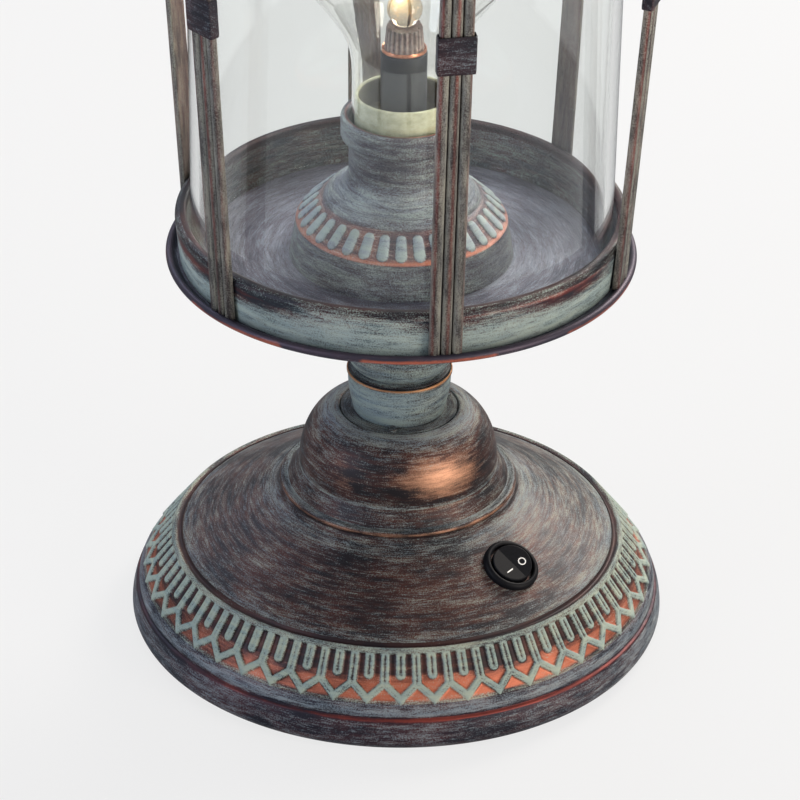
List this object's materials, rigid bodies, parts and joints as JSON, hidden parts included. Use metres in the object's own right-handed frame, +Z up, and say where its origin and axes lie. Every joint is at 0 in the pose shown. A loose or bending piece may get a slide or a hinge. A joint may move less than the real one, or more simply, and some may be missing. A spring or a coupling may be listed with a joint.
{
  "type": "lantern table lamp",
  "caption": "Lantern table lamp: embossed round foot, turned neck, tray with gallery, reeded posts round a glass cylinder with a large clear bulb, and a lift-off domed roof.",
  "frame": {"origin": "middle of the felt's underside, on the table", "axes": "+Z up along the lamp's axis, -Y to the front (the picture's side), +X to the right; the cable inlet is at the back, +Y"},
  "size_m": [0.2008, 0.2019, 0.4777],
  "materials": {
    "patina_foot": "satin",
    "patina_neck": "satin",
    "patina_vase": "satin",
    "patina_tray": "satin",
    "patina_gallery": "satin",
    "patina_cover": "brushed",
    "patina_post": "satin",
    "patina_collar": "satin",
    "chimney_glass": "clear",
    "bulb_glass": "clear",
    "cap_nickel": "plated",
    "black_glass": "glossy",
    "cement": "matt",
    "pillar_dark": "satin",
    "pillar_copper": "satin",
    "stem_glass": "clear",
    "filament": "lit",
    "black_plastic": "satin",
    "brass": "turned",
    "zinc_steel": "zinc plated",
    "iron": "cast",
    "felt": "felt",
    "rubber": "moulded",
    "porcelain": "glazed",
    "white_plastic": "moulded",
    "wire_brown": "insulated",
    "wire_red": "insulated",
    "wire_blue": "insulated"
  },
  "bodies": {
    "base": {"base_shell": "patina_foot", "felt_pad": "felt", "bottom_plate": "zinc_steel", "base_weight": "iron", "plate_screws": "zinc_steel", "cable_bush": "rubber", "terminal_block": "white_plastic", "mains_wire": "wire_brown", "switched_wire": "wire_red", "neutral_wire": "wire_blue", "clamp_washer": "zinc_steel", "clamp_nut": "brass", "threaded_tube": "brass", "recess_disc": "patina_neck", "neck_ring": "patina_neck", "neck_vase": "patina_vase", "tray": "patina_tray", "lower_gallery": "patina_gallery", "tray_nut": "brass", "holder_cover": "patina_cover", "holder_ring": "patina_cover", "holder_body": "porcelain", "holder_shell": "brass", "centre_contact": "brass", "switch_housing": "black_plastic", "switch_tabs": "brass", "glass_cylinder": "chimney_glass", "crown_plate": "patina_tray", "upper_gallery": "patina_gallery", "roof_seat": "patina_tray", "post_1": "patina_post", "post_2": "patina_post", "post_3": "patina_post", "post_4": "patina_post", "post_5": "patina_post", "post_6": "patina_post", "collar_1": "patina_collar", "collar_2": "patina_collar", "collar_3": "patina_collar", "collar_4": "patina_collar", "collar_5": "patina_collar", "collar_6": "patina_collar"},
    "rocker": {"switch_rocker": "black_plastic"},
    "roof": {"roof": "patina_foot", "chimney": "patina_cover", "hood": "patina_foot", "hood_bridge": "zinc_steel", "knob": "patina_cover", "knob_stud": "brass"},
    "bulb": {"bulb_cap": "cap_nickel", "cap_insulator": "black_glass", "bulb_glass": "bulb_glass", "neck_cement": "cement", "bulb_pillar": "pillar_dark", "pillar_cap": "pillar_copper", "stem_ball": "stem_glass", "filament_strips": "filament"}
  },
  "joints": [
    {"name": "rocker_tip", "type": "hinge", "parent": "base", "child": "rocker", "pos_m": [0.04078, -0.0445, 0.04619], "axis": [-0.7036, 0.5363, 0.4661], "range_deg": [0, 13]},
    {"name": "roof_lift", "type": "slide", "parent": "base", "child": "roof", "axis": [0, 0, 1], "range_m": [0, 0.12]},
    {"name": "bulb_out", "type": "slide", "parent": "base", "child": "bulb", "axis": [0, 0, 1], "range_m": [0, 0.026]}
  ]
}
